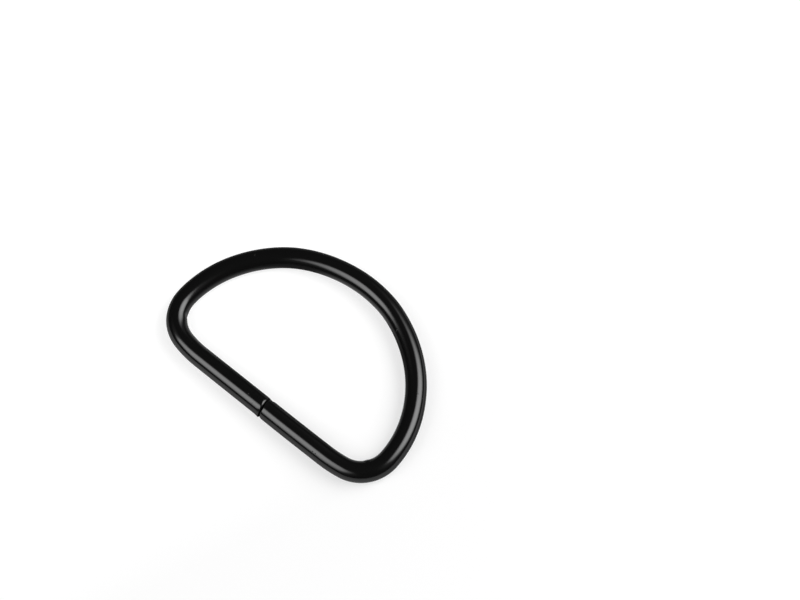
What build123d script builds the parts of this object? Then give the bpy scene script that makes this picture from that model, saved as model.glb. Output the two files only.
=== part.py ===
from build123d import *

import os
from math import cos, radians, sin

# D ring bent from one round wire, lying flat. Lengths in mm, turns in degrees.
# X runs along the straight bar, Y from the bar to the crown of the bow, and Z up from the ground.
wire_diameter = 3.5

# Centre line of the wire, from the middle of the bar round to the shoulder, the same on both sides
bar_half_length = 13.1
ease_radius = 22.0
ease_turn = 10.0
corner_radius = 5.85
corner_turn = 79.0
shoulder_radius = 18.3
shoulder_turn = 30.0

# Open butt seam in the bar, where the two sheared ends of the wire meet a little askew
seam_offset = 0.8
seam_gap = 0.2
seam_skew = 6.5
left_end_roll = 0.3
right_end_roll = 0.25

wire_radius = wire_diameter / 2.0
side_bends = [
    (ease_radius, ease_turn),
    (corner_radius, corner_turn),
    (shoulder_radius, shoulder_turn),
]


def closing_bow():
    """Radius and half turn of the bow that joins both sides, and the height of its crown over the bar."""
    across, up, heading = bar_half_length, 0.0, 0.0
    for radius, turn in side_bends:
        next_heading = heading + radians(turn)
        across += radius * (sin(next_heading) - sin(heading))
        up += radius * (cos(heading) - cos(next_heading))
        heading = next_heading
    bow_radius = across / sin(heading)
    bow_half_turn = 180.0 - sum(turn for _, turn in side_bends)
    crown_height = up + bow_radius * (1.0 + cos(heading))
    return bow_radius, bow_half_turn, crown_height


bow_radius, bow_half_turn, crown_height = closing_bow()
bar_y = -crown_height / 2.0


def wire_path():
    """Centre line from the middle of the bar once round the D, each arc tangent to the one before it."""
    bends = side_bends + [(bow_radius, 2.0 * bow_half_turn)] + side_bends[::-1]
    with BuildLine() as centre_line:
        stretch = Line((0.0, bar_y), (bar_half_length, bar_y))
        for radius, turn in bends:
            stretch = JernArc(stretch @ 1, stretch % 1, radius, turn)
        Line(stretch @ 1, (0.0, bar_y))
    return centre_line.wire().moved(Location((0.0, 0.0, wire_radius)))


def seam_slot():
    """Thin slab, as wide as the gap, that stands across the bar and is turned by the skew of the cut."""
    reach = 2.0 * wire_diameter
    return Pos(seam_offset, bar_y, wire_radius) * Rot(0.0, 0.0, seam_skew) * Box(seam_gap, reach, reach)


def cut_face(ring, side):
    """Flat face of the cut wire at the seam: side 0 is the left end, side 1 the right end."""
    return ring.faces().filter_by(GeomType.PLANE).sort_by(Axis.X)[side]


def ring_wire():
    """Round wire swept round the D and opened at the seam, the rims of both sheared ends rolled over."""
    path = wire_path()
    section = Plane(origin=path @ 0, z_dir=path % 0) * Circle(wire_radius)
    ring = sweep(section, path=path) - seam_slot()
    ring = fillet(cut_face(ring, 0).edges(), left_end_roll)
    return fillet(cut_face(ring, 1).edges(), right_end_roll)


os.makedirs("parts", exist_ok=True)
export_step(ring_wire(), "parts/ring_wire.step")
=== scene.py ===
"""D ring bent from one round wire and painted semi-gloss black, lying flat in a white studio."""

from math import cos, pi, radians, sin, tan

import bpy
import numpy as np
from bpy.props import FloatProperty, FloatVectorProperty, IntProperty, PointerProperty
from mathutils import Matrix, Vector


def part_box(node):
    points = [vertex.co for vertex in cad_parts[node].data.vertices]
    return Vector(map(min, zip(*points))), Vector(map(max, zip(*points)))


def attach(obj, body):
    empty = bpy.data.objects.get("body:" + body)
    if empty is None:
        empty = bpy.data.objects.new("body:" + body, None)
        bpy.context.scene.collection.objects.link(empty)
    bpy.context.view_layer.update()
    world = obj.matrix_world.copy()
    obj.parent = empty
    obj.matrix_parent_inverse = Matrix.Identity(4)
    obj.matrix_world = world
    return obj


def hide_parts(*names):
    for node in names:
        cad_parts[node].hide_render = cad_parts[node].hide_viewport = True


bl_info = {
    "name": "Bent Wire D Ring",
    "version": (1, 0, 0),
    "blender": (4, 5, 0),
    "location": "3D View > Sidebar > D Ring",
    "description": "Adds a painted D ring of bent wire, and the white studio that it lies in",
    "category": "Add Mesh",
}

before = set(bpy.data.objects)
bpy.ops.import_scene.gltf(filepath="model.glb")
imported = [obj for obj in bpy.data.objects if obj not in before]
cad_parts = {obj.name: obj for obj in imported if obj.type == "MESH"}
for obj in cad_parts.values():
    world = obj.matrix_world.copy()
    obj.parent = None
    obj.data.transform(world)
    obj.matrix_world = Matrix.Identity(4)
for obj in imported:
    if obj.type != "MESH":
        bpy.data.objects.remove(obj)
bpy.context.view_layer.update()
cad_low, cad_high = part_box("ring_wire")

MM = 0.001


def table(columns, *rows):
    """A short table with named columns, as one array with a row for each feature."""
    return np.array(list(rows), dtype=[(column, float) for column in columns.split()])


# Slow waves that bending leaves in the centre line: place along the wire from the middle of the bar,
# reach to either side and shift towards the inside of the D, in mm
bend_waves = table(
    "place reach shift",
    (4.4, 5.2, -0.035),
    (14.9, 4.0, 0.032),
    (28.0, 4.0, -0.030),
    (38.5, 4.4, -0.033),
    (45.5, 2.8, 0.018),
    (52.5, 2.3, -0.049),
    (62.5, 4.6, 0.070),
    (72.1, 3.9, -0.063),
    (83.3, 4.2, 0.049),
    (90.7, 2.1, -0.047),
    (98.7, 2.1, 0.060),
    (107.6, 7.0, -0.021),
)

# Where the wire with its paint is a little thicker or thinner: place, reach and change of radius, in mm
thickness_waves = table(
    "place reach change",
    (17.0, 20.0, 0.012),
    (42.0, 5.0, 0.012),
    (58.0, 6.0, 0.022),
    (71.0, 12.0, 0.024),
    (91.0, 4.5, -0.024),
    (110.0, 8.0, 0.007),
)

# Dents and paint runs: place and length along the wire in mm, side and spread round it in degrees from
# the top towards the inside of the D, and depth in mm, which is negative where paint stands proud
dents = table(
    "place length side spread depth",
    (0.62, 0.28, -52.0, 18.0, 0.09),
    (1.07, 0.20, -99.0, 15.0, 0.10),
    (1.10, 0.27, 77.0, 16.0, 0.13),
    (21.3, 0.60, 68.0, 14.0, -0.08),
    (57.25, 0.22, -94.0, 14.0, -0.06),
    (94.6, 0.60, 84.0, 22.0, 0.20),
    (95.6, 1.60, 62.0, 20.0, -0.04),
)

# The two cut ends at the seam, the left one first, in mm and degrees: how far the face is set back, and how
# much more so outside the D and less inside. Then the depth of the rolled rim where it is deepest and where
# it is least, the side where it is deepest, its spread to either side, and its length as a multiple of its
# depth. Then how far the flanks are pinched in, and the lip of the burr with the side that it is on
wire_ends = table(
    "back wedge deepest least side spread_out spread_in long pinch burr burr_side",
    (0.04, 0.07, 0.25, 0.04, 14.0, 38.0, 32.0, 1.85, 0.00, 0.10, -95.0),
    (0.00, 0.04, 0.18, 0.05, 10.0, 60.0, 45.0, 1.1, 0.03, 0.00, 0.0),
)
# Distances from a cut face over which the pinch and the burr fade, and over which the skew does
end_reach = 0.45 * MM
skew_reach = 2.0 * MM

# Rows of the skin on each cut face and over its rim. The other rows crowd near the ends, where a length
# counts for up to that much more, which fades over the crowd's reach
face_rows = 6
rim_rows = 10
crowd_gain = 4.0
crowd_reach = 0.8 * MM

# Small marks in the paint: place along the wire and side round it, length and width in mm, turn from
# the wire's own direction in degrees, how light and how rough each is, and how much of the gloss it lacks.
# The last three lack all their gloss: black arcs at the inner side of the right corner that are painted
# shade, for a dark line there that is partly a paint-filled crease and partly contact shadow
paint_marks = table(
    "place side length width turn light rough dull",
    (48.2, 40.0, 0.80, 0.09, 114.0, 0.5, 0.3, 0.0),
    (93.2, -47.0, 0.95, 0.06, 62.0, 0.6, 0.3, 0.0),
    (36.5, -13.0, 0.60, 0.10, 60.0, 0.0, 0.6, 0.0),
    (35.9, -41.0, 0.20, 0.12, 0.0, 0.0, 0.5, 0.0),
    (114.2, -5.0, 0.30, 0.16, 10.0, 0.2, 0.3, 0.0),
    (11.75, -33.0, 0.26, 0.20, 20.0, 0.0, 0.5, 0.2),
    (12.35, -33.0, 0.24, 0.20, 0.0, 0.0, 0.5, 0.2),
    (115.6, -33.0, 0.50, 0.20, 10.0, 0.0, 0.15, 0.0),
    (77.9, -9.0, 0.55, 0.30, 70.0, 0.1, 0.2, 0.0),
    # Painted shade: black arcs without gloss at the inner side of the right corner
    (21.00, 47.0, 1.00, 0.36, -21.0, 0.0, 0.1, 1.0),
    (21.62, 47.0, 0.80, 0.32, 25.0, 0.0, 0.1, 1.0),
    (22.28, 61.0, 0.95, 0.42, 50.0, 0.0, 0.1, 1.0),
)
# Where the rim of a mark's oval starts and ends, as shares of its length, how ragged it is, and how fine
# its ragged waves are
mark_rim = (0.3, 0.55)
mark_raggedness = 0.3
mark_waves = 4.0

# Detail of the noise behind ragged rims and behind the grains, and how rough the grains are
ragged_detail = 3.0
grain_detail, grain_roughness = 2.0, 0.45
# Size and depth of the orange peel of the paint, of the sheared grain and of the sheet's fibres. Then the
# shade of the sheet's darkest fibres as a share of its colour, and its roughness, which is nearly matt
peel_size, peel_depth = 0.9 * MM, 0.0026 * MM
shear_size, shear_depth = 0.3 * MM, 0.03 * MM
fibre_size, fibre_depth = 0.8 * MM, 0.004 * MM
fibre_shade = 0.985
sheet_roughness = 0.9
# Patches where the gloss changes slowly, and by how much the roughness does
patch_size = 6.0 * MM
patch_change = 0.06
# Thin paint beside a cut rim: how much of the steel shows there, how coarse it is, and its reach on the
# wire and on the cut face
thin_share = 0.25
thin_grain = 0.25 * MM
thin_on_wire = 0.12 * MM
thin_on_cut = 0.4 * MM
# Gloss of the paint, and the duller paint on a cut face: its least roughness, how much the grain adds, and
# its gloss
paint_ior = 1.5
paint_gloss = 0.5
cut_roughness, cut_roughness_gain = 0.5, 0.3
cut_gloss = 0.08

# Studio lights: distance from the ring in mm, height over the floor, turn from +X and lean of the frame in
# degrees, half width and half height in mm, where the brightest place is across it as a share of the half
# width, how fast the glow falls from there, and the brightness there
softbox_names = ("softbox_far", "softbox_near")
softboxes = table(
    "distance height turn lean half_width half_height bright_at fall glow",
    (385.0, 44.0, 52.0, -18.0, 187.0, 178.0, -0.20, 0.50, 6.7),
    (385.0, 44.5, 254.0, -18.0, 149.0, 158.0, -0.35, 0.42, 5.0),
)
# Their cloth: how square its outline is (2 would be round), how softly it ends as a share of the half
# width, and the faint spill to its left and right with its reach
cloth_squareness = 3.0
cloth_rim = 0.3
cloth_spill = 0.07
cloth_reach = 1.9
cloth_least_glow = 1.0 / 3.0
# Brightness of the rest of the room, as the ring mirrors it
room_glow = 0.0345

# Painted light: a glow that the floor shows to the camera alone, lighter towards -X and +Y and far from the
# ring. Its least, which holds beyond this X, what it gains along -X and +Y in 1/m, and what fills the fall
# of the light between two distances from the ring
floor_lift = 0.585
floor_lift_edge = 0.025
floor_lift_gain = (3.5, 1.45)
floor_fill = 0.45
floor_fill_range = (0.02, 0.6)
# Painted reflection: for every ray but the camera's the floor glows with these shares of that glow, placed
# so that the ring mirrors them. The first is outside the D and nearest to the viewer: it fades between two
# places in metres along the way that the camera looks, and grows between two sizes of the ring's own outline
near_share = 0.95
near_way = (-0.630, 0.777, 0.0)
near_range = (-0.008, 0.018)
near_outline = (0.9, 1.4)
# The second is round a place inside the bow, and fades between two distances from there
bow_share = 0.75
bow_place = (0.0, 0.009, 0.0)
bow_range = (0.004, 0.009)
# The third is inside the D to its left and right: it grows between two shares of the half width, and fades
# between two sizes of the outline
side_share = 0.5
side_range = (0.45, 0.7)
side_outline = (0.85, 1.0)
# How square the ring's outline is there, where 2 would be an ellipse
outline_squareness = 3.0


class RingShape(bpy.types.PropertyGroup):
    """Sizes of the bent wire. Half of the D is bar, ease, corner and shoulder, and the bow closes it."""

    wire_diameter: FloatProperty(
        name="Wire Diameter",
        description="Thickness of the round wire with its paint",
        default=cad_high.z - cad_low.z,
        unit="LENGTH",
    )
    bar_half_length: FloatProperty(
        name="Bar Half Length",
        description="Straight stretch of the bar on one side of its middle",
        default=13.1 * MM,
        unit="LENGTH",
    )
    ease_radius: FloatProperty(
        name="Ease Radius",
        description="Bend radius where the bar starts to leave its line",
        default=22.0 * MM,
        unit="LENGTH",
    )
    ease_turn: FloatProperty(
        name="Ease Turn",
        description="Turn of the wire along the ease",
        default=radians(10.0),
        subtype="ANGLE",
    )
    corner_radius: FloatProperty(
        name="Corner Radius",
        description="Bend radius of the wire's middle in the corner",
        default=5.85 * MM,
        unit="LENGTH",
    )
    corner_turn: FloatProperty(
        name="Corner Turn",
        description="Turn of the wire along the corner",
        default=radians(79.0),
        subtype="ANGLE",
    )
    shoulder_radius: FloatProperty(
        name="Shoulder Radius",
        description="Bend radius between the corner and the bow",
        default=18.3 * MM,
        unit="LENGTH",
    )
    shoulder_turn: FloatProperty(
        name="Shoulder Turn",
        description="Turn of the wire along the shoulder",
        default=radians(30.0),
        subtype="ANGLE",
    )
    rows: IntProperty(
        name="Rows",
        description="Rows of faces along the wire",
        default=1080,
    )
    columns: IntProperty(
        name="Columns",
        description="Faces round the wire",
        default=72,
    )


class SeamShape(bpy.types.PropertyGroup):
    """The open butt seam in the bar, where the two cut ends of the wire meet."""

    place: FloatProperty(
        name="Seam Place",
        description="Distance of the seam from the middle of the bar",
        default=0.8 * MM,
        unit="LENGTH",
    )
    gap: FloatProperty(
        name="Seam Gap",
        description="Open gap between the two cut faces",
        default=0.2 * MM,
        unit="LENGTH",
    )
    skew: FloatProperty(
        name="Seam Skew",
        description="Turn of the cut away from square to the bar",
        default=radians(6.5),
        subtype="ANGLE",
    )


class PaintFinish(bpy.types.PropertyGroup):
    """Look of the black paint and of the floor."""

    paint_colour: FloatVectorProperty(
        name="Paint Colour",
        description="Body colour of the paint under its gloss",
        default=(0.0032, 0.0032, 0.0032),
        subtype="COLOR",
        min=0.0,
        max=1.0,
    )
    paint_roughness: FloatProperty(
        name="Paint Roughness",
        description="0 is a mirror, 1 is matt",
        default=0.13,
        subtype="FACTOR",
        min=0.0,
        max=1.0,
    )
    steel_colour: FloatVectorProperty(
        name="Steel Colour",
        description="Dull sheared steel that shows where the paint is thin",
        default=(0.06, 0.058, 0.055),
        subtype="COLOR",
        min=0.0,
        max=1.0,
    )
    floor_colour: FloatVectorProperty(
        name="Floor Colour",
        description="Pale matt sheet under the ring",
        default=(0.36, 0.36, 0.36),
        subtype="COLOR",
        min=0.0,
        max=1.0,
    )
    # Painted shade: the sheet that the ring mirrors is darker than the one that the camera sees
    mirrored_shade_colour: FloatVectorProperty(
        name="Mirrored Colour",
        description="Colour of the sheet as the gloss of the ring mirrors it",
        default=(0.125, 0.125, 0.125),
        subtype="COLOR",
        min=0.0,
        max=1.0,
    )


class StudioSetup(bpy.types.PropertyGroup):
    """Camera and floor of the studio."""

    camera_turn: FloatProperty(
        name="Camera Turn",
        description="Turn of the camera round the ring, 0 looks along +Y",
        default=radians(39.06),
        subtype="ANGLE",
    )
    camera_height: FloatProperty(
        name="Camera Height",
        description="Angle of the camera above the floor",
        default=radians(69.18),
        subtype="ANGLE",
    )
    camera_distance: FloatProperty(
        name="Camera Distance",
        description="Distance from the camera to the point that it looks at",
        default=265.34 * MM,
        unit="LENGTH",
    )
    camera_target: FloatVectorProperty(
        name="Camera Target",
        description="Point that the camera looks at",
        default=(5.990 * MM, 14.910 * MM, 1.75 * MM),
        subtype="TRANSLATION",
        unit="LENGTH",
    )
    lens: FloatProperty(
        name="Lens",
        description="Focal length for a 36 mm wide sensor, in millimetres",
        default=72.10,
        unit="CAMERA",
    )
    floor_radius: FloatProperty(
        name="Floor Radius",
        description="Radius of the pale floor round the ring",
        default=2.0,
        unit="LENGTH",
    )


def wire_bends(shape):
    """Places where the bends meet, and the heading of the wire there, once round from the middle of the bar.

    The lengths of the bends are radius times turn, and the radius of the bow follows from the half width
    that the other bends leave it, divided by the sine of the heading there."""
    radii = np.array([shape.ease_radius, shape.corner_radius, shape.shoulder_radius])
    turns = np.array([shape.ease_turn, shape.corner_turn, shape.shoulder_turn])
    headings = np.concatenate([[0.0], np.cumsum(turns)])
    half_width = shape.bar_half_length + (radii * np.diff(np.sin(headings))).sum()
    bow_radius = half_width / sin(headings[-1])
    bow_turn = 2.0 * (pi - headings[-1])
    side = radii * turns
    lengths = np.concatenate(
        [[shape.bar_half_length], side, [bow_radius * bow_turn], side[::-1], [shape.bar_half_length]]
    )
    all_turns = np.concatenate([[0.0], turns, [bow_turn], turns[::-1], [0.0]])
    places = np.concatenate([[0.0], np.cumsum(lengths)])
    return places, np.concatenate([[0.0], np.cumsum(all_turns)])


def bells(rows, places, height, around):
    """Sum of one bell for each row of a table, at places along the wire.

    A bell is its height times exp(-(distance / reach)^2), the distance taken the short way round."""
    away = (places[..., None] - rows["place"] * MM + around / 2) % around - around / 2
    return (rows[height] * MM * np.exp(-((away / (rows["reach"] * MM)) ** 2))).sum(axis=-1)


def centre_line(shape, places):
    """Middle of the wire at the given places, as x, y and heading.

    The heading grows evenly along each bend, and the middle is the running sum of short steps along the
    heading, moved towards the inside of the D by the bend waves."""
    bend_places, bend_headings = wire_bends(shape)
    around = bend_places[-1]
    steps = np.union1d(np.linspace(0.0, around, 9001), bend_places)
    headings = np.interp(steps, bend_places, bend_headings)
    middles = (headings[1:] + headings[:-1]) / 2
    x_steps = np.concatenate([[0.0], np.cumsum(np.diff(steps) * np.cos(middles))])
    y_steps = np.concatenate([[0.0], np.cumsum(np.diff(steps) * np.sin(middles))])
    wrapped = places % around
    heading = np.interp(wrapped, bend_places, bend_headings)
    shift = bells(bend_waves, wrapped, "shift", around)
    bar_y = cad_low.y + shape.wire_diameter / 2
    x = np.interp(wrapped, steps, x_steps) - shift * np.sin(heading)
    y = np.interp(wrapped, steps, y_steps) + shift * np.cos(heading) + bar_y
    return x, y, heading


def wire_rows(length, rows):
    """Rows of the surface: place along the wire, share of the radius, and roll angle at each end.

    They run from the middle of the right cut face out to its rim, over the rolled rim, along the wire and
    back to the middle of the left cut face. Rows crowd near the ends: they are evenly spaced in the running
    sum of 1 + gain exp(-distance / reach)."""
    fine = np.linspace(0.0, length, 20001)
    crowd = 1.0 + crowd_gain * np.exp(-np.minimum(fine, length - fine) / crowd_reach)
    measure = np.concatenate([[0.0], np.cumsum((crowd[1:] + crowd[:-1]) / 2)])
    body = np.interp(np.linspace(0.0, measure[-1], rows - 2 * (face_rows + rim_rows)), measure, fine)
    face = np.linspace(0.0, 1.0, face_rows + 1)[1:]
    roll = np.linspace(pi / 2, 0.0, rim_rows + 1)[1:-1]
    ends = face_rows + rim_rows - 1
    place = np.concatenate([np.zeros(ends), body, np.full(ends, length)])
    share = np.concatenate([face, np.ones(2 * (rim_rows - 1) + len(body)), face[::-1]])
    roll_right = np.concatenate([np.full(face_rows, pi / 2), roll, np.zeros(len(body) + ends)])
    roll_left = np.concatenate([np.zeros(len(body) + ends), roll[::-1], np.full(face_rows, pi / 2)])
    return place, share, roll_right, roll_left


def end_effect(end, side, away, roll):
    """How one cut end changes the wire: extra distance from its face, and drop of the radius.

    The face is set back by its own share less the wedge times the sine of the side. The rim rolls over the
    edge as a quarter ellipse of depth q and length p: at roll angle a the surface is p (1 - sin a) from the
    face and q (1 - cos a) under the full radius. Here q is its least value plus a bell of the side, with its
    own spread to each side of the deepest place. The pinch goes as the square of the sine of the side, the
    lip of the burr as the cube of the cosine of the angle from its own side, and both fade as
    exp(-(distance / reach)^2)."""
    deepest_side = radians(end["side"])
    spread = np.radians(np.where(side < deepest_side, end["spread_out"], end["spread_in"]))
    turned = (side - deepest_side) / spread
    depth = (end["least"] + (end["deepest"] - end["least"]) * np.exp(-(turned**2))) * MM
    back = (end["back"] - end["wedge"] * np.sin(side)) * MM
    distance = back + end["long"] * depth * (1.0 - np.sin(roll))
    fade = np.exp(-(((away + distance) / end_reach) ** 2))
    pinch = end["pinch"] * np.sin(side) ** 2
    lip = end["burr"] * np.maximum(0.0, np.cos(side - radians(end["burr_side"]))) ** 3
    drop = depth * (1.0 - np.cos(roll)) + (pinch - lip) * MM * fade
    return distance, drop


def wire_surface(shape, seam):
    """Points of the wire's skin, and where each one is on the wire, as arrays of rows by columns.

    A point is the middle of the wire plus the radius times (cos side up + sin side towards the inside of
    the D). The radius is the wire's own with its thickness waves, less the dents and what the cut ends
    take off. Near an end the rows move along the wire by the rim's roll and by the skew of the cut, which
    is its tangent times the sideways offset, and both fade as exp(-distance / reach)."""
    radius = shape.wire_diameter / 2
    around = wire_bends(shape)[0][-1]
    length = around - seam.gap
    place, share, roll_right, roll_left = (row[:, None] for row in wire_rows(length, shape.rows))
    side = np.linspace(-pi, pi, shape.columns + 1)[None, :]
    fade_right = np.exp(-place / skew_reach)
    fade_left = np.exp(-(length - place) / skew_reach)
    right_distance, right_drop = end_effect(wire_ends[1], side, place, roll_right)
    left_distance, left_drop = end_effect(wire_ends[0], side, length - place, roll_left)
    sideways = share * radius * np.sin(side)
    along = seam.place + seam.gap / 2 + place - tan(seam.skew) * sideways * (fade_right + fade_left)
    along = along + right_distance * fade_right - left_distance * fade_left
    thickness = bells(thickness_waves, along, "change", around)
    away = (along[..., None] - dents["place"] * MM + around / 2) % around - around / 2
    turned = (side[..., None] - np.radians(dents["side"])) / np.radians(dents["spread"])
    dent = (dents["depth"] * MM * np.exp(-((away / (dents["length"] * MM)) ** 2) - turned**2)).sum(axis=-1)
    skin = share * (radius + thickness - right_drop - left_drop - dent)
    x, y, heading = centre_line(shape, along)
    points = np.stack(
        [
            x - skin * np.sin(side) * np.sin(heading),
            y + skin * np.sin(side) * np.cos(heading),
            radius + thickness + skin * np.cos(side),
        ],
        axis=-1,
    )
    on_wire = np.stack([along, np.broadcast_to(side * radius, along.shape)], axis=-1)
    from_rim = np.minimum(place + right_distance, length - place + left_distance)
    return points, on_wire, from_rim + (1.0 - share) * radius, share[:, 0]


def wire_mesh(points, on_wire, from_rim, share):
    """Mesh of the skin: quads between neighbouring rows, and a fan from each end row to its middle.

    The last column repeats the first, so it only serves the map of places, and the round is closed."""
    rows, columns = points.shape[0], points.shape[1] - 1
    first, last = rows * columns, rows * columns + 1
    row, column = np.meshgrid(np.arange(rows), np.arange(columns), indexing="ij")
    index = row * columns + column
    ahead = np.roll(index, -1, axis=1)
    quads = np.stack([index[:-1], index[1:], ahead[1:], ahead[:-1]], axis=-1).reshape(-1, 4)
    right_fan = np.stack([np.full(columns, first), index[0], ahead[0]], axis=-1)
    left_fan = np.stack([index[-1], np.full(columns, last), ahead[-1]], axis=-1)
    poles = np.stack([points[0, :-1].mean(axis=0), points[-1, :-1].mean(axis=0)])
    vertices = np.concatenate([points[:, :-1].reshape(-1, 3), poles])

    mesh = bpy.data.meshes.new("ring_wire_painted")
    mesh.from_pydata(vertices.tolist(), [], quads.tolist() + right_fan.tolist() + left_fan.tolist())
    on_face = (share[:-1] < 1.0) | (share[1:] < 1.0)
    slots = np.concatenate([np.repeat(on_face, columns), np.ones(2 * columns)]).astype(np.int32)
    mesh.polygons.foreach_set("material_index", slots)
    mesh.polygons.foreach_set("use_smooth", np.ones(len(slots), dtype=bool))

    this, after = on_wire[:, :-1], on_wire[:, 1:]
    quad_map = np.stack([this[:-1], this[1:], after[1:], after[:-1]], axis=2).reshape(-1, 2)
    right_map = np.stack([this[0], this[0], after[0]], axis=1).reshape(-1, 2)
    left_map = np.stack([this[-1], this[-1], after[-1]], axis=1).reshape(-1, 2)
    layer = mesh.uv_layers.new(name="on_wire")
    whole_map = np.concatenate([quad_map, right_map, left_map]).astype(np.float32)
    layer.uv.foreach_set("vector", whole_map.ravel())

    distance = mesh.attributes.new("from_rim", "FLOAT", "POINT")
    rim_values = np.concatenate([from_rim[:, :-1].ravel(), from_rim[[0, -1], 0]])
    distance.data.foreach_set("value", rim_values.astype(np.float32))
    mesh.validate()
    return mesh


def add_node(tree, kind, wires, **settings):
    """A node of that kind, with its settings, and each named or numbered input set or wired."""
    made = tree.nodes.new(kind)
    for name, value in settings.items():
        setattr(made, name, value)
    for name, value in wires.items():
        if isinstance(value, bpy.types.NodeSocket):
            tree.links.new(value, made.inputs[name])
        else:
            made.inputs[name].default_value = value
    return made


def calc(tree, operation, *values):
    """Output of a Math node that works on these values or wires."""
    return add_node(tree, "ShaderNodeMath", dict(enumerate(values)), operation=operation).outputs[0]


def blend(tree, value, start, end, first=0.0, last=1.0):
    """Output that goes smoothly from first to last while the value goes from start to end."""
    wires = {"Value": value, "From Min": start, "From Max": end, "To Min": first, "To Max": last}
    return add_node(tree, "ShaderNodeMapRange", wires, interpolation_type="SMOOTHSTEP").outputs["Result"]


def round_reach(tree, x, y, squareness):
    """Output (|x|^n + |y|^n)^(1/n), which is 1 on the outline of a square with rounded corners."""
    powers = (calc(tree, "POWER", calc(tree, "ABSOLUTE", side), squareness) for side in (x, y))
    return calc(tree, "POWER", calc(tree, "ADD", *powers), 1.0 / squareness)


def effect_group(name, inputs, outputs):
    """An empty shader node group with named sockets: the group, its input wires and its output node."""
    group = bpy.data.node_groups.new(name, "ShaderNodeTree")
    for label, kind in inputs:
        group.interface.new_socket(label, in_out="INPUT", socket_type=kind)
    for label in outputs:
        group.interface.new_socket(label, in_out="OUTPUT", socket_type="NodeSocketFloat")
    return group, group.nodes.new("NodeGroupInput").outputs, group.nodes.new("NodeGroupOutput")


def grain_group():
    """Fine uneven skin, as of sprayed paint or sheared metal: a height in metres, and a mask from 0 to 1."""
    group, given, out = effect_group(
        "fine_grain",
        [("Position", "NodeSocketVector"), ("Size", "NodeSocketFloat"), ("Depth", "NodeSocketFloat")],
        ["Height", "Mask"],
    )
    scale = calc(group, "DIVIDE", 1.0, given["Size"])
    noise = add_node(
        group,
        "ShaderNodeTexNoise",
        {
            "Vector": given["Position"],
            "Scale": scale,
            "Detail": grain_detail,
            "Roughness": grain_roughness,
        },
    )
    height = calc(group, "MULTIPLY", calc(group, "SUBTRACT", noise.outputs["Fac"], 0.5), given["Depth"])
    group.links.new(height, out.inputs["Height"])
    group.links.new(noise.outputs["Fac"], out.inputs["Mask"])
    return group


def mark_group():
    """Mask of one small mark: 1 inside a turned oval on the wire's map, and 0 outside its ragged rim."""
    group, given, out = effect_group(
        "surface_mark",
        [
            ("On Wire", "NodeSocketVector"),
            ("Along", "NodeSocketFloat"),
            ("Around", "NodeSocketFloat"),
            ("Turn", "NodeSocketFloat"),
            ("Length", "NodeSocketFloat"),
            ("Width", "NodeSocketFloat"),
        ],
        ["Mask"],
    )
    centre = add_node(group, "ShaderNodeCombineXYZ", {"X": given["Along"], "Y": given["Around"]})
    offset = add_node(
        group, "ShaderNodeVectorMath", {0: given["On Wire"], 1: centre.outputs[0]}, operation="SUBTRACT"
    )
    turned = add_node(
        group,
        "ShaderNodeVectorRotate",
        {"Vector": offset.outputs[0], "Angle": calc(group, "MULTIPLY", given["Turn"], -1.0)},
        rotation_type="Z_AXIS",
    )
    size = add_node(group, "ShaderNodeCombineXYZ", {"X": given["Length"], "Y": given["Width"], "Z": 1.0})
    shares = add_node(
        group, "ShaderNodeVectorMath", {0: turned.outputs[0], 1: size.outputs[0]}, operation="DIVIDE"
    )
    ragged = add_node(
        group,
        "ShaderNodeTexNoise",
        {"Vector": shares.outputs[0], "Scale": mark_waves, "Detail": ragged_detail},
    )
    reach = add_node(group, "ShaderNodeVectorMath", {0: shares.outputs[0]}, operation="LENGTH")
    inner = calc(group, "SUBTRACT", reach.outputs["Value"], mark_raggedness / 2)
    rim = calc(group, "MULTIPLY_ADD", ragged.outputs["Fac"], mark_raggedness, inner)
    group.links.new(blend(group, rim, *mark_rim, 1.0, 0.0), out.inputs["Mask"])
    return group


def rim_group():
    """Mask of thin paint near a cut rim: it falls as exp(-distance / reach), broken up by a fine noise."""
    group, given, out = effect_group(
        "thin_rim",
        [("Position", "NodeSocketVector"), ("Distance", "NodeSocketFloat"), ("Reach", "NodeSocketFloat")],
        ["Mask"],
    )
    share = calc(group, "DIVIDE", given["Distance"], given["Reach"])
    fall = calc(group, "EXPONENT", calc(group, "MULTIPLY", share, -1.0))
    noise = add_node(
        group,
        "ShaderNodeTexNoise",
        {"Vector": given["Position"], "Scale": 1.0 / thin_grain, "Detail": ragged_detail},
    )
    mask = calc(group, "MULTIPLY", fall, noise.outputs["Fac"])
    group.links.new(mask, out.inputs["Mask"])
    return group


def use_group(tree, group, wires):
    """A group placed in a material, with its sockets set or wired."""
    return add_node(tree, "ShaderNodeGroup", wires, node_tree=group)


def new_material(name):
    """An empty material: its node tree, its Principled shader and the object coordinates."""
    material = bpy.data.materials.new(name)
    material.use_nodes = True
    tree = material.node_tree
    tree.nodes.clear()
    shader = tree.nodes.new("ShaderNodeBsdfPrincipled")
    out = tree.nodes.new("ShaderNodeOutputMaterial")
    tree.links.new(shader.outputs["BSDF"], out.inputs["Surface"])
    position = tree.nodes.new("ShaderNodeTexCoord").outputs["Object"]
    return material, tree, shader, position


def mix_colour(tree, mask, below, above):
    """Colour that goes from below to above with the mask."""
    mixed = add_node(tree, "ShaderNodeMix", {"Factor": mask}, data_type="RGBA")
    for socket, value in ((mixed.inputs["A"], below), (mixed.inputs["B"], above)):
        if isinstance(value, bpy.types.NodeSocket):
            tree.links.new(value, socket)
        else:
            socket.default_value = (*value[:3], 1.0)
    return mixed.outputs["Result"]


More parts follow.
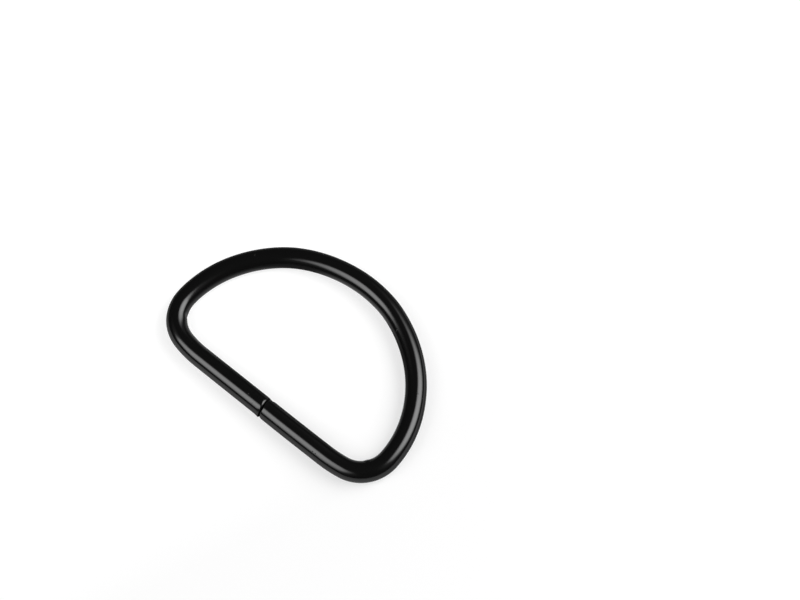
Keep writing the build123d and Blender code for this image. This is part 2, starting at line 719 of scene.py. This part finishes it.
def paint_material(finish, grain, mark, rim, radius):
    """Semi-gloss black paint: a faint orange peel, slow changes of gloss, thin paint at the cut rims, and
    the small marks of the table, each a group of its own on the wire's map. Three of the marks are painted
    shade."""
    material, tree, shader, position = new_material("black_paint")
    on_wire = add_node(tree, "ShaderNodeUVMap", {}, uv_map="on_wire").outputs["UV"]
    from_rim = add_node(tree, "ShaderNodeAttribute", {}, attribute_name="from_rim").outputs["Fac"]
    peel = use_group(tree, grain, {"Position": position, "Size": peel_size, "Depth": peel_depth})
    patches = use_group(tree, grain, {"Position": position, "Size": patch_size, "Depth": 0.0})
    thin = use_group(tree, rim, {"Position": position, "Distance": from_rim, "Reach": thin_on_wire})
    light = calc(tree, "MULTIPLY", thin.outputs["Mask"], thin_share)
    smoothest = finish.paint_roughness - patch_change / 2
    rough = calc(tree, "MULTIPLY_ADD", patches.outputs["Mask"], patch_change, smoothest)
    gloss = paint_gloss
    for row in paint_marks:
        placed = use_group(
            tree,
            mark,
            {
                "On Wire": on_wire,
                "Along": row["place"] * MM,
                "Around": radians(row["side"]) * radius,
                "Turn": radians(row["turn"]),
                "Length": row["length"] * MM,
                "Width": row["width"] * MM,
            },
        )
        light = calc(tree, "MULTIPLY_ADD", placed.outputs["Mask"], row["light"], light)
        rough = calc(tree, "MULTIPLY_ADD", placed.outputs["Mask"], row["rough"], rough)
        # Lost gloss of the scuffs, and painted shade where a mark loses all of its gloss
        gloss = calc(tree, "MULTIPLY_ADD", placed.outputs["Mask"], -row["dull"] * paint_gloss, gloss)
    colour = mix_colour(tree, light, finish.paint_colour, finish.steel_colour)
    bump = add_node(tree, "ShaderNodeBump", {"Distance": 1.0, "Height": peel.outputs["Height"]})
    tree.links.new(colour, shader.inputs["Base Color"])
    tree.links.new(rough, shader.inputs["Roughness"])
    tree.links.new(calc(tree, "MAXIMUM", gloss, 0.0), shader.inputs["Specular IOR Level"])
    tree.links.new(bump.outputs["Normal"], shader.inputs["Normal"])
    shader.inputs["IOR"].default_value = paint_ior
    return material


def cut_material(finish, grain, rim):
    """Cut faces of the wire: sheared grain under a thin, almost matt coat of the same paint."""
    material, tree, shader, position = new_material("painted_cut")
    from_rim = add_node(tree, "ShaderNodeAttribute", {}, attribute_name="from_rim").outputs["Fac"]
    shear = use_group(tree, grain, {"Position": position, "Size": shear_size, "Depth": shear_depth})
    thin = use_group(tree, rim, {"Position": position, "Distance": from_rim, "Reach": thin_on_cut})
    light = calc(tree, "MULTIPLY", thin.outputs["Mask"], thin_share)
    colour = mix_colour(tree, light, finish.paint_colour, finish.steel_colour)
    rough = calc(tree, "MULTIPLY_ADD", shear.outputs["Mask"], cut_roughness_gain, cut_roughness)
    bump = add_node(tree, "ShaderNodeBump", {"Distance": 1.0, "Height": shear.outputs["Height"]})
    tree.links.new(colour, shader.inputs["Base Color"])
    tree.links.new(rough, shader.inputs["Roughness"])
    tree.links.new(bump.outputs["Normal"], shader.inputs["Normal"])
    shader.inputs["Specular IOR Level"].default_value = cut_gloss
    shader.inputs["IOR"].default_value = paint_ior
    return material


def painted_floor_glow(tree, position, place):
    """Painted light that the sheet glows with for the camera: the least lift, plus the gain times the
    distance inside the lift's edge, plus what fills the fall of the light far from the ring."""
    gain_x, gain_y = floor_lift_gain
    gain = calc(tree, "MULTIPLY_ADD", place["X"], -gain_x, gain_x * floor_lift_edge)
    gain = calc(tree, "MULTIPLY_ADD", place["Y"], gain_y, gain)
    lift = calc(tree, "ADD", calc(tree, "MAXIMUM", gain, 0.0), floor_lift)
    reach = add_node(tree, "ShaderNodeVectorMath", {0: position}, operation="LENGTH").outputs["Value"]
    return calc(tree, "ADD", lift, blend(tree, reach, *floor_fill_range, 0.0, floor_fill))


def painted_reflection_share(tree, position, place):
    """Painted reflection: share of that glow that the floor shows to all rays but the camera's, for the ring
    to
    mirror: outside the D on the viewer's side, inside it at the bow, and inside it to the left and right.
    The outline is a rounded square drawn out to the ring's own box."""
    x = calc(tree, "DIVIDE", place["X"], cad_high.x)
    y = calc(tree, "DIVIDE", place["Y"], cad_high.y)
    outline = round_reach(tree, x, y, outline_squareness)
    ahead = add_node(tree, "ShaderNodeVectorMath", {0: position, 1: near_way}, operation="DOT_PRODUCT")
    near = blend(tree, ahead.outputs["Value"], *near_range, near_share, 0.0)
    outside = blend(tree, outline, *near_outline)
    from_bow = add_node(tree, "ShaderNodeVectorMath", {0: position, 1: bow_place}, operation="DISTANCE")
    in_bow = blend(tree, from_bow.outputs["Value"], *bow_range, bow_share, 0.0)
    in_side = blend(tree, calc(tree, "ABSOLUTE", x), *side_range, 0.0, side_share)
    in_side = calc(tree, "MULTIPLY", in_side, blend(tree, outline, *side_outline, 1.0, 0.0))
    return calc(tree, "MULTIPLY_ADD", near, outside, calc(tree, "MAXIMUM", in_bow, in_side))


def floor_material(finish, grain):
    """Matt sheet with a fine, faint grain. It glows with painted light for the camera, and the ring mirrors
    a darker copy of the sheet, painted shade, which glows with a painted reflection share of that light."""
    material, tree, shader, position = new_material("white_sheet")
    fibre = use_group(tree, grain, {"Position": position, "Size": fibre_size, "Depth": fibre_depth})
    shaded = [fibre_shade * part for part in finish.floor_colour]
    colour = mix_colour(tree, fibre.outputs["Mask"], finish.floor_colour, shaded)
    place = add_node(tree, "ShaderNodeSeparateXYZ", {"Vector": position}).outputs
    sight = tree.nodes.new("ShaderNodeLightPath").outputs["Is Camera Ray"]
    # Painted light: the camera sees the whole glow, and other rays see a painted reflection share of it
    strength = calc(tree, "MAXIMUM", sight, painted_reflection_share(tree, position, place))
    # Painted shade: rays other than the camera's see the darker mirrored sheet
    tree.links.new(mix_colour(tree, sight, finish.mirrored_shade_colour, colour), shader.inputs["Base Color"])
    tree.links.new(painted_floor_glow(tree, position, place), shader.inputs["Emission Color"])
    tree.links.new(strength, shader.inputs["Emission Strength"])
    shader.inputs["Roughness"].default_value = sheet_roughness
    shader.inputs["Specular IOR Level"].default_value = 0.0
    return material


def floor_mesh(radius):
    """Flat disc: rings whose radius grows as the square of their number, closed by a fan in the middle."""
    rings, sectors = 24, 96
    ring_radius = radius * (np.arange(1, rings + 1) / rings) ** 2
    turn = np.arange(sectors) * 2.0 * pi / sectors
    x = ring_radius[:, None] * np.cos(turn)
    y = ring_radius[:, None] * np.sin(turn)
    points = np.stack([x, y, np.zeros_like(x)], axis=-1).reshape(-1, 3)
    index = np.arange(rings * sectors).reshape(rings, sectors)
    ahead = np.roll(index, -1, axis=1)
    quads = np.stack([index[:-1], index[1:], ahead[1:], ahead[:-1]], axis=-1).reshape(-1, 4)
    fan = np.stack([np.full(sectors, rings * sectors), index[0], ahead[0]], axis=-1)
    mesh = bpy.data.meshes.new("white_floor")
    mesh.from_pydata(points.tolist() + [[0.0, 0.0, 0.0]], [], quads.tolist() + fan.tolist())
    return mesh


def direction(turn, height):
    """Unit vector that is that turn from +X round the ring and that height above the floor."""
    return Vector((cos(turn) * cos(height), sin(turn) * cos(height), sin(height)))


def facing(back, lean=0.0):
    """Rotation of a camera or light whose back points along a direction, leaning about that direction."""
    across = Vector((0.0, 0.0, 1.0)).cross(back).normalized()
    upright = back.cross(across)
    level = Matrix((across, upright, back)).transposed().to_4x4()
    return level @ Matrix.Rotation(lean, 4, "Z")


def softbox(name, row):
    """Large light behind a cloth with rounded corners.

    With x and y as shares of the half sizes, the cloth is a square with rounded corners that ends smoothly
    from 1 - rim to 1 + rim. A faint spill has the same outline, drawn out sideways by the reach. The glow is
    1 less the fall times the squared distance from the brightest place, but never under its least."""
    wide, high = cloth_reach * (1.0 + cloth_rim), 1.0 + cloth_rim
    light = bpy.data.lights.new(name, "AREA")
    light.shape = "RECTANGLE"
    light.size = 2.0 * wide * row["half_width"] * MM
    light.size_y = 2.0 * high * row["half_height"] * MM
    light.energy = pi * light.size * light.size_y * row["glow"]
    light.use_nodes = True
    tree = light.node_tree
    across = tree.nodes.new("ShaderNodeNewGeometry").outputs["Parametric"]
    across = add_node(tree, "ShaderNodeSeparateXYZ", {"Vector": across}).outputs
    x = calc(tree, "MULTIPLY_ADD", across["X"], 2.0 * wide, -wide)
    y = calc(tree, "MULTIPLY_ADD", across["Y"], 2.0 * high, -high)
    rim = (1.0 - cloth_rim, 1.0 + cloth_rim)
    cloth = blend(tree, round_reach(tree, x, y, cloth_squareness), *rim, 1.0 - cloth_spill, 0.0)
    drawn_out = calc(tree, "DIVIDE", x, cloth_reach)
    spill = blend(tree, round_reach(tree, drawn_out, y, cloth_squareness), *rim, cloth_spill, 0.0)
    off_bright = calc(tree, "POWER", calc(tree, "SUBTRACT", x, row["bright_at"]), 2.0)
    off_bright = calc(tree, "ADD", off_bright, calc(tree, "MULTIPLY", y, y))
    level = calc(tree, "MULTIPLY_ADD", off_bright, -row["fall"], 1.0)
    level = calc(tree, "MAXIMUM", level, cloth_least_glow)
    glow = calc(tree, "MULTIPLY", calc(tree, "ADD", cloth, spill), level)
    tree.links.new(glow, tree.nodes["Emission"].inputs["Strength"])
    lamp = bpy.data.objects.new(name, light)
    towards = direction(radians(row["turn"]), radians(row["height"]))
    place = Matrix.Translation(towards * row["distance"] * MM)
    lamp.matrix_world = place @ facing(towards, radians(row["lean"]))
    lamp.visible_camera = False
    bpy.context.scene.collection.objects.link(lamp)
    return lamp


def studio_world():
    """Dim room that the ring mirrors, with a white backdrop where the camera sees past the floor."""
    world = bpy.data.worlds.new("dim_room")
    world.use_nodes = True
    tree = world.node_tree
    sight = tree.nodes.new("ShaderNodeLightPath").outputs["Is Camera Ray"]
    colour = mix_colour(tree, sight, (room_glow,) * 3, (1.0,) * 3)
    tree.links.new(colour, tree.nodes["Background"].inputs["Color"])
    bpy.context.scene.world = world
    return world


class DRING_OT_bent_wire(bpy.types.Operator):
    """Add the painted wire of the ring in place of the plain solid"""

    bl_idname = "mesh.d_ring_bent_wire"
    bl_label = "Add Bent Wire"

    def execute(self, context):
        shape, seam, finish = context.scene.ring_shape, context.scene.ring_seam, context.scene.ring_finish
        if "ring_wire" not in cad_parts:
            raise RuntimeError("the frame has no ring_wire for the painted wire to stand for")
        mesh = wire_mesh(*wire_surface(shape, seam))
        grain, mark, rim = grain_group(), mark_group(), rim_group()
        mesh.materials.append(paint_material(finish, grain, mark, rim, shape.wire_diameter / 2))
        mesh.materials.append(cut_material(finish, grain, rim))
        ring = bpy.data.objects.new("ring_wire_painted", mesh)
        context.scene.collection.objects.link(ring)
        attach(ring, "root")
        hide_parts("ring_wire")
        return {"FINISHED"}


class DRING_OT_white_studio(bpy.types.Operator):
    """Add the floor, the two softboxes, the dim room and the camera"""

    bl_idname = "scene.d_ring_white_studio"
    bl_label = "Add White Studio"

    def execute(self, context):
        studio, finish = context.scene.ring_studio, context.scene.ring_finish
        grain = bpy.data.node_groups.get("fine_grain") or grain_group()
        mesh = floor_mesh(studio.floor_radius)
        mesh.materials.append(floor_material(finish, grain))
        floor = bpy.data.objects.new("white_floor", mesh)
        context.scene.collection.objects.link(floor)
        for name, row in zip(softbox_names, softboxes):
            softbox(name, row)
        studio_world()
        back = direction(studio.camera_turn - pi / 2, studio.camera_height)
        camera = bpy.data.objects.new("photo_view", bpy.data.cameras.new("photo_view"))
        camera.data.lens = studio.lens
        camera.data.clip_start = 0.01
        place = Vector(studio.camera_target) + back * studio.camera_distance
        camera.matrix_world = Matrix.Translation(place) @ facing(back)
        context.scene.collection.objects.link(camera)
        context.scene.camera = camera
        context.scene.view_settings.view_transform = "Standard"
        return {"FINISHED"}


class DRING_PT_sidebar(bpy.types.Panel):
    """Sizes and finish of the ring, and the buttons that add it and its studio"""

    bl_idname = "DRING_PT_sidebar"
    bl_label = "D Ring"
    bl_space_type = "VIEW_3D"
    bl_region_type = "UI"
    bl_category = "D Ring"

    def draw(self, context):
        for name, operator in (
            ("ring_shape", None),
            ("ring_seam", None),
            ("ring_finish", DRING_OT_bent_wire),
            ("ring_studio", DRING_OT_white_studio),
        ):
            column = self.layout.column()
            group = getattr(context.scene, name)
            for label in group.__annotations__:
                column.prop(group, label)
            if operator:
                column.operator(operator.bl_idname)


groups = {
    "ring_shape": RingShape,
    "ring_seam": SeamShape,
    "ring_finish": PaintFinish,
    "ring_studio": StudioSetup,
}
classes = (*groups.values(), DRING_OT_bent_wire, DRING_OT_white_studio, DRING_PT_sidebar)


def register():
    for cls in classes:
        bpy.utils.register_class(cls)
    for name, group in groups.items():
        setattr(bpy.types.Scene, name, PointerProperty(type=group))


def unregister():
    for name in groups:
        delattr(bpy.types.Scene, name)
    for cls in reversed(classes):
        bpy.utils.unregister_class(cls)


def main():
    register()
    bpy.ops.mesh.d_ring_bent_wire()
    bpy.ops.scene.d_ring_white_studio()


if __name__ == "__main__":
    main()
